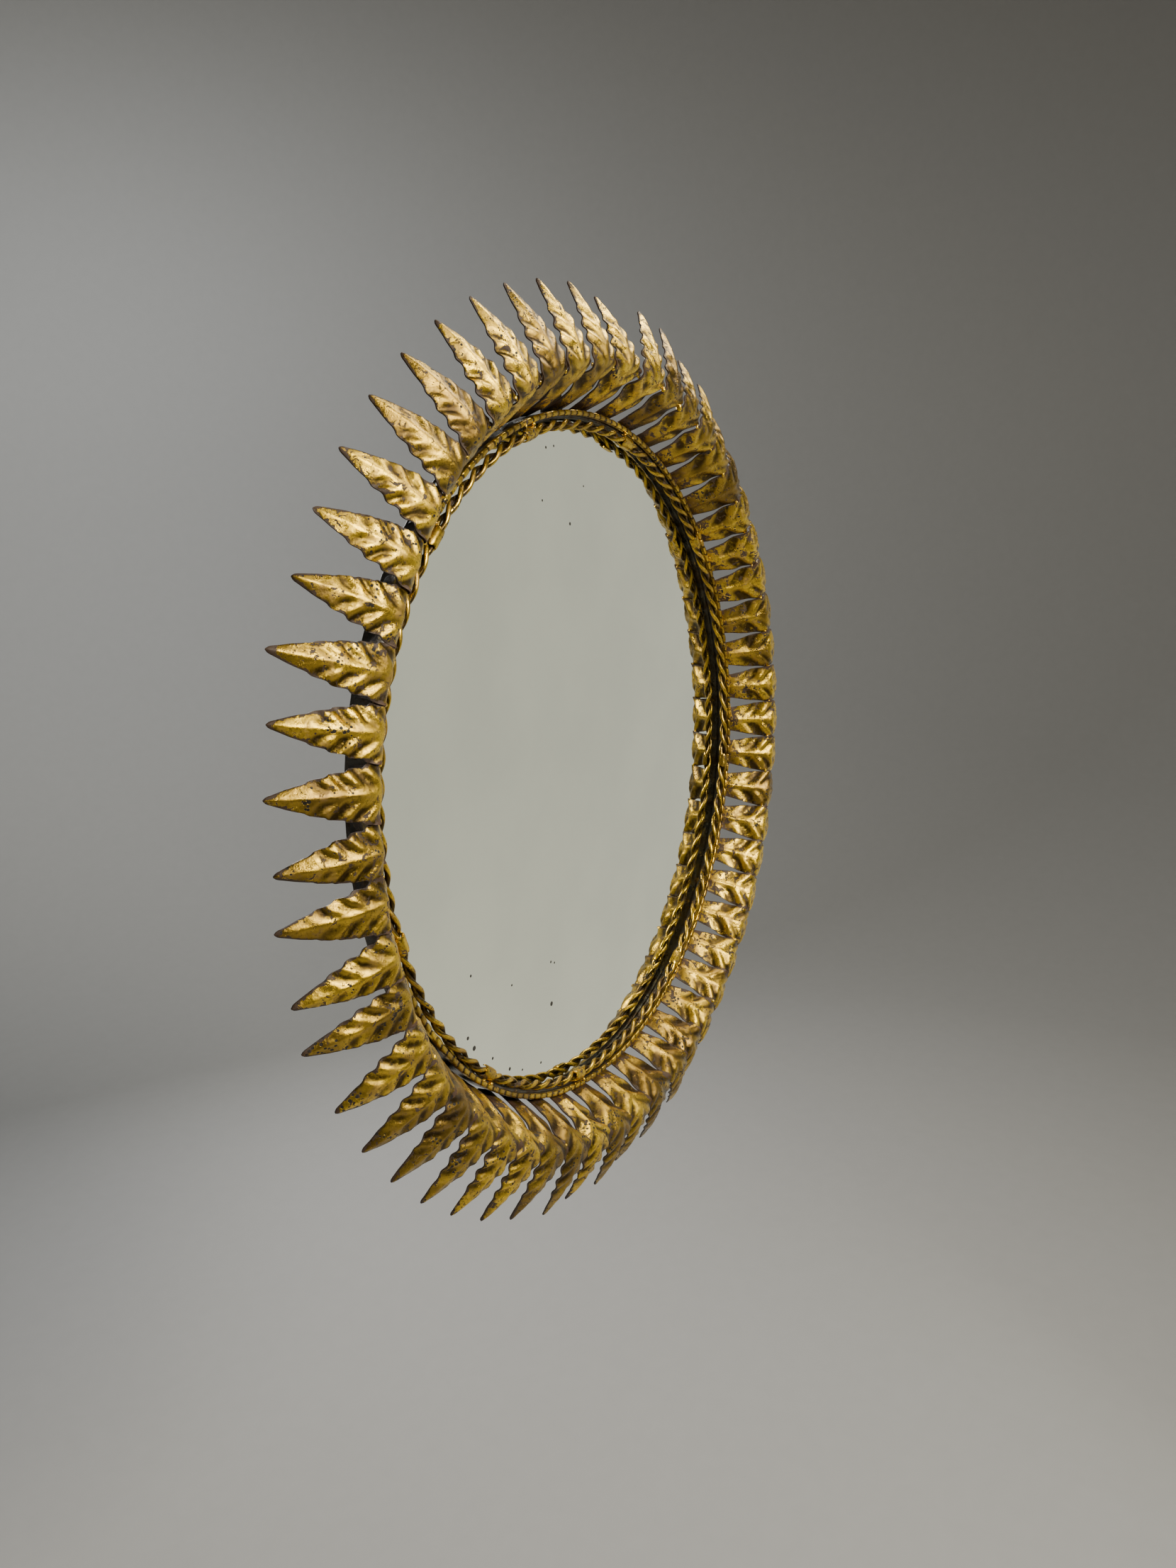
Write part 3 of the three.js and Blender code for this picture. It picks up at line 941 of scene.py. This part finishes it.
def lump(centre, size, draw):
    """A rounded drop of braze, as points and faces."""
    ring = np.linspace(0, FULL_TURN, LUMP_SIDES, endpoint=False)[None, :]
    fall = np.linspace(LUMP_POLE, math.pi - LUMP_POLE, LUMP_ROWS)[:, None]
    wobble = 1 + LUMP_RING_WOBBLE * np.sin(2 * ring + draw.uniform(0, FULL_TURN)) * np.sin(fall)
    wobble = wobble + LUMP_FALL_WOBBLE * np.sin(3 * fall + draw.uniform(0, FULL_TURN))
    stretch = draw.uniform(*LUMP_STRETCH, 3)
    ball = np.stack([
        np.sin(fall) * np.cos(ring) * wobble,
        np.sin(fall) * np.sin(ring) * wobble,
        np.cos(fall) * wobble + 0 * ring,
    ], axis=-1) * stretch * size * MM
    poles = np.stack([ball[0].mean(axis=0), ball[-1].mean(axis=0)])
    points = np.concatenate([ball.reshape(-1, 3), poles]) + centre
    first_pole = LUMP_ROWS * LUMP_SIDES
    last_row = first_pole - LUMP_SIDES
    corners = [(side, (side + 1) % LUMP_SIDES) for side in range(LUMP_SIDES)]
    faces = grid_faces(LUMP_ROWS, LUMP_SIDES, close_columns=True).tolist()
    faces += [[first_pole, following, side] for side, following in corners]
    faces += [[first_pole + 1, last_row + side, last_row + following] for side, following in corners]
    return points, faces


def leaf_lump(leaf):
    """The angle, radius, height and size of the drop under the crest after a leaf."""
    draw = np.random.default_rng(LEAF_LUMP_SEED + leaf)
    out = CREST_OUT - draw.uniform(*LEAF_LUMP_IN)
    angle = leaf_angle(leaf) + lean_share(out) * leaf_lean(leaf) + angle_between(leaf, 1, out) / 2
    height = float(np.interp(out, ROOT_OUT, ROOT_UP)) - draw.uniform(*LEAF_LUMP_DOWN)
    return angle, RING_RADIUS + out, height, draw.uniform(*LEAF_LUMP_SIZE)


def clip_lumps(number, middle):
    """The same for the two drops that hold a clip."""
    draw = np.random.default_rng(CLIP_LUMP_SEED + number)
    drops = []
    for side in (-1, 1):
        angle = middle + side * draw.uniform(*CLIP_LUMP_ASIDE)
        radius = RING_RADIUS - draw.uniform(*CLIP_LUMP_IN)
        drops.append((angle, radius, CLIP_LUMP_UP, draw.uniform(*CLIP_LUMP_SIZE)))
    return drops


def braze_lumps(lump_material):
    """Drops of braze between the leaves under the crest, and on the rope's clips."""
    drops = [leaf_lump(leaf) for leaf in range(1, LEAF_COUNT + 1)]
    for number, middle in enumerate(CLIP_ANGLES):
        drops += clip_lumps(number, middle)
    lumps = []
    for number, (angle, radius, height, size) in enumerate(drops):
        draw = np.random.default_rng(LUMP_SHAPE_SEED + number)
        lumps.append(lump(place(angle, radius, height), size, draw))
    piece = mesh_object("braze_lumps", *joined(lumps))
    paint(piece, relief=0.8, soot=0, edge=0, seed=0.9)
    dress(piece, "leaf_gilt", lump_material)


# Glass, band and hanger

GLASS_CENTRE = 0.01
GLASS_CHAMFER = 0.8
BAND_BEVEL = 0.4
HANGER_EASE = 0.3
HANGER_TOP_STEPS = 25
HANGER_EYE_SIDES = 32


def looking_glass():
    back = GLASS_FRONT - GLASS_THICK
    piece = turned("looking_glass", [
        (GLASS_CENTRE, GLASS_FRONT),
        (GLASS_RADIUS - GLASS_CHAMFER, GLASS_FRONT),
        (GLASS_RADIUS, GLASS_FRONT - GLASS_CHAMFER),
        (GLASS_RADIUS, back),
        (GLASS_CENTRE, back),
    ])
    sharpen(piece, angle=20)
    dress(piece, "silvered_glass", silvered_glass(), "mirror_glass")


def iron_band(iron):
    piece = turned("iron_band", [
        (BAND_INNER, BAND_FRONT),
        (BAND_OUTER, BAND_FRONT),
        (BAND_OUTER, -RING_TO_WALL),
        (LEDGE_INNER, -RING_TO_WALL),
        (LEDGE_INNER, LEDGE_FRONT),
        (BAND_INNER, LEDGE_FRONT),
    ])
    sharpen(piece, angle=40)
    bevel(piece, BAND_BEVEL)
    dress(piece, "dark_iron", iron, "frame_band")


def hanger_outlines():
    """The tab with its round top, and its eye, each as a loop of across and up."""
    half = HANGER_WIDTH / 2
    shoulder = HANGER_FOOT + HANGER_TOP - half
    tab = [(-half, HANGER_FOOT), (half, HANGER_FOOT)]
    for turn in np.radians(np.linspace(0, 180, HANGER_TOP_STEPS)):
        tab.append((half * math.cos(turn), shoulder + half * math.sin(turn)))
    eye_middle = HANGER_FOOT + HANGER_EYE_HEIGHT
    eye = []
    for turn in np.radians(np.linspace(0, 360, HANGER_EYE_SIDES, endpoint=False)):
        eye.append((HANGER_EYE_RADIUS * math.cos(turn), eye_middle + HANGER_EYE_RADIUS * math.sin(turn)))
    return tab, eye


def hanger_tab(iron):
    """A flat tab with an eye, its edges eased."""
    curve = bpy.data.curves.new("hanger_tab", "CURVE")
    curve.dimensions = "2D"
    curve.fill_mode = "BOTH"
    curve.extrude = (HANGER_THICK / 2 - HANGER_EASE) * MM
    curve.bevel_depth = HANGER_EASE * MM
    curve.bevel_resolution = 2
    curve.offset = -HANGER_EASE * MM
    for loop in hanger_outlines():
        spline = curve.splines.new("POLY")
        spline.points.add(len(loop) - 1)
        for point, (across, up) in zip(spline.points, loop):
            point.co = (across * MM, up * MM, 0, 1)
        spline.use_cyclic_u = True
    drawn = bpy.data.objects.new("hanger_outline", curve)
    bpy.context.scene.collection.objects.link(drawn)
    evaluated = drawn.evaluated_get(bpy.context.evaluated_depsgraph_get())
    mesh = bpy.data.meshes.new_from_object(evaluated)
    bpy.data.objects.remove(drawn)
    stand_up = Matrix.Rotation(math.pi / 2, 4, "X")
    stand_up.translation = Vector((0, -HANGER_THICK / 2 * MM, -AXIS_DROP * MM))
    mesh.transform(stand_up)
    piece = smooth_piece("hanger_tab", mesh)
    sharpen(piece, angle=35)
    dress(piece, "dark_iron", iron, "hanger")


# Stage, lights and camera, all in metres

FLOOR_HEIGHT = -1.6
FLOOR_CENTRE = 0.001
FLOOR_INNER_RING = 1.2
COVE_START = 2.6
COVE_RADIUS = 1.8
COVE_WALL_TOP = 6
COVE_SIDES = 96
PAPER_DIM = (0.42, 0.42, 0.42, 1)
PAPER_BRIGHT = (0.45, 0.45, 0.45, 1)
WARM_LIGHT = (1.0, 0.93, 0.76)
SOFT_LIGHT = (0.99, 1.0, 0.90)
COOL_LIGHT = (0.96, 0.99, 1.0)
WHITE_LIGHT = (1, 1, 1)
ROOM_COLOUR = (0.80, 0.82, 0.84, 1)
ROOM_STRENGTH = 0.015


def studio_floor():
    """A pale floor that curves up into a wall on every side."""
    profile = [(FLOOR_CENTRE, 0), (FLOOR_INNER_RING, 0), (COVE_START, 0)]
    for turn in np.radians(np.linspace(7.5, 90, 12)):
        profile.append((COVE_START + COVE_RADIUS * math.sin(turn), COVE_RADIUS * (1 - math.cos(turn))))
    profile.append((COVE_START + COVE_RADIUS, COVE_WALL_TOP))
    around = np.linspace(0, FULL_TURN, COVE_SIDES, endpoint=False)[:, None]
    radius, height = np.array(profile).T
    points = np.stack([
        radius * np.cos(around),
        radius * np.sin(around),
        height + FLOOR_HEIGHT + 0 * around,
    ], axis=-1).reshape(-1, 3)
    faces = grid_faces(COVE_SIDES, len(profile), close_rows=True)
    floor = mesh_object("studio_floor", points, faces.tolist())
    made, tree, shader, where = material("pale_paper")
    colour = mix_colour(tree, noise(tree, where, 30, detail=4), PAPER_DIM, PAPER_BRIGHT)
    feed(tree, shader.inputs["Base Color"], colour)
    shader.inputs["Roughness"].default_value = 0.9
    floor.data.materials.append(made)


def area_light(name, place_at, aim, size, power, colour):
    """A square lamp that shines from one point towards another."""
    data = bpy.data.lights.new(name, "AREA")
    data.size = size
    data.energy = power
    data.color = colour
    lamp = bpy.data.objects.new(name, data)
    lamp.location = place_at
    lamp.rotation_mode = "QUATERNION"
    lamp.rotation_quaternion = (Vector(place_at) - Vector(aim)).to_track_quat("Z", "Y")
    lamp.visible_camera = False
    bpy.context.scene.collection.objects.link(lamp)


def lights():
    """Warm lamps for the gilding, a panel for the glass to mirror, and lamps for what is behind."""
    middle = (0, 0, -AXIS_DROP * MM)
    wall = (2.6, 3.4, -0.8)
    area_light("key", (-0.41, -1.62, 0.75), middle, size=0.55, power=62, colour=WARM_LIGHT)
    area_light("panel", (1.19, -0.79, -0.56), middle, size=1.6, power=4.2, colour=SOFT_LIGHT)
    area_light("top", (0.96, -0.24, 1.0), middle, size=0.6, power=20, colour=WARM_LIGHT)
    area_light("rear", (1.35, 1.8, 0.1), middle, size=1.2, power=28, colour=WHITE_LIGHT)
    area_light("backdrop", (1.3, 2.2, 1.0), wall, size=1.0, power=24, colour=COOL_LIGHT)
    world = bpy.data.worlds.new("room")
    world.use_nodes = True
    background = world.node_tree.nodes["Background"]
    background.inputs["Color"].default_value = ROOM_COLOUR
    background.inputs["Strength"].default_value = ROOM_STRENGTH
    bpy.context.scene.world = world


# The camera: where the photograph was taken from, in metres, and how it was held, in degrees
CAMERA_PLACE = (-0.6402, -0.4014, -0.0572)
CAMERA_YAW = 58.67
CAMERA_PITCH = -14.33
CAMERA_ROLL = -3.40
CAMERA_LENS = 26.04
CAMERA_SENSOR = 36


def camera():
    yaw = math.radians(CAMERA_YAW)
    pitch = math.radians(CAMERA_PITCH)
    roll = math.radians(CAMERA_ROLL)
    forward = Vector((math.sin(yaw) * math.cos(pitch), math.cos(yaw) * math.cos(pitch), math.sin(pitch)))
    right = Vector((math.cos(yaw), -math.sin(yaw), 0))
    up = right.cross(forward)
    tilted_right = math.cos(roll) * right + math.sin(roll) * up
    tilted_up = math.cos(roll) * up - math.sin(roll) * right
    data = bpy.data.cameras.new("camera")
    data.lens = CAMERA_LENS
    data.sensor_width = CAMERA_SENSOR
    data.clip_start = 0.02
    data.clip_end = 50
    made = bpy.data.objects.new("camera", data)
    turn = Matrix((tilted_right, tilted_up, -forward)).transposed()
    made.matrix_world = Matrix.Translation(CAMERA_PLACE) @ turn.to_4x4()
    bpy.context.scene.collection.objects.link(made)
    bpy.context.scene.camera = made


# Making

camera()
leaf_gilding = gilt("leaf_gilding", wear=0.045, grain=0.20)
wire_gilding = gilt("wire_gilding", wear=0.02, grain=0.06)
iron_finish = dark_iron()
middle_line = leaf_middle()
for leaf_number in range(1, LEAF_COUNT + 1):
    leaf_sheet(leaf_number, middle_line, leaf_gilding)
rope_strands(wire_gilding)
nicked_ring(wire_gilding)
rope_clips(wire_gilding)
braze_lumps(leaf_gilding)
looking_glass()
iron_band(iron_finish)
hanger_tab(iron_finish)
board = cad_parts["backing_board"]
board.data.materials.clear()
board.data.materials.append(hardboard())
studio_floor()
lights()
